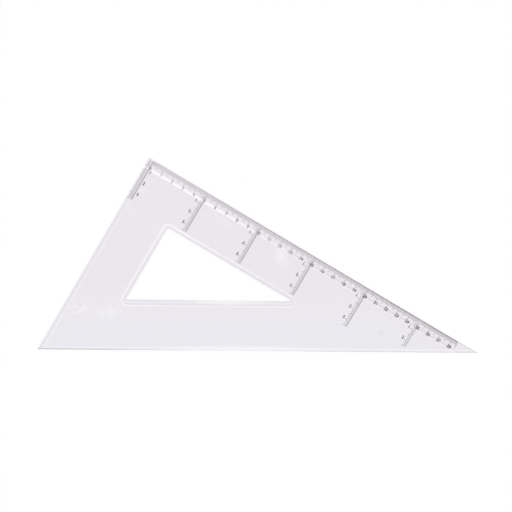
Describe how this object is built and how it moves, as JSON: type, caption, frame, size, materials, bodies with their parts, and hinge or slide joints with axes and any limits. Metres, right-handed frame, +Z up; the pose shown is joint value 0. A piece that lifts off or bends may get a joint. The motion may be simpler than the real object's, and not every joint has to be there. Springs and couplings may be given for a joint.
{
  "type": "drafting triangle",
  "caption": "Clear plastic 30/60 degree drafting triangle with a triangular opening, bevelled edges and a centimetre scale with cross scales along its long leg.",
  "frame": {"origin": "middle of the bounding box, on the underside that lies on the paper", "axes": "+X along the hypotenuse towards the thin tip, +Y from the hypotenuse towards the right-angled corner, +Z up out of the bevelled top face"},
  "size_m": [0.3556, 0.154, 0.0022],
  "materials": {
    "clear_plastic": "clear, polished, faintly violet",
    "black_foil": "stamped black"
  },
  "bodies": {
    "root": {"plate": "clear_plastic", "main_scale": "black_foil", "cross_scale_0": "black_foil", "cross_scale_5": "black_foil", "cross_scale_10": "black_foil", "cross_scale_15": "black_foil", "cross_scale_20": "black_foil", "cross_scale_25": "black_foil"}
  },
  "joints": []
}
